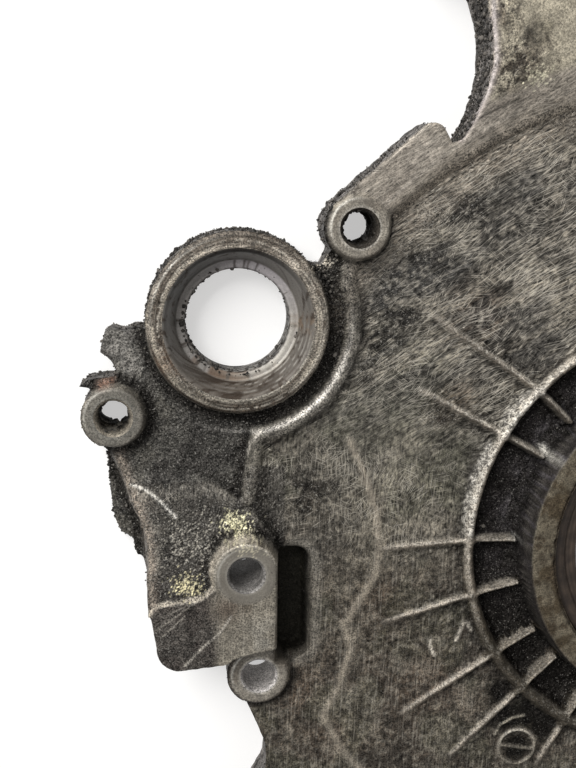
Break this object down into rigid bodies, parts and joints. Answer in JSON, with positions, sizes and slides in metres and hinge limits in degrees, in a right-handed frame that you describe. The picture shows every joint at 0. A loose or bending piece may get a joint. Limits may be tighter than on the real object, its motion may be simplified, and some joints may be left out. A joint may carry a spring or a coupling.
{
  "type": "timing cover",
  "caption": "Cast aluminium engine timing cover, flat and flanged, with a ribbed crankshaft hub, a shaft seal, a stepped side bore and a tall corner pad.",
  "frame": {"origin": "middle of the cover's footprint, on the gasket face it rests on", "axes": "+Z out of the front face, along the crankshaft axis; +Y up along the neck of the fitted cover; +X to the right as seen from the front"},
  "size_m": [0.2894, 0.306, 0.022],
  "materials": {
    "cast_aluminium": "rough sand cast, worn and dirty",
    "brown_rubber": "satin"
  },
  "bodies": {
    "root": {"cover_casting": "cast_aluminium", "crank_seal": "brown_rubber"}
  },
  "joints": []
}
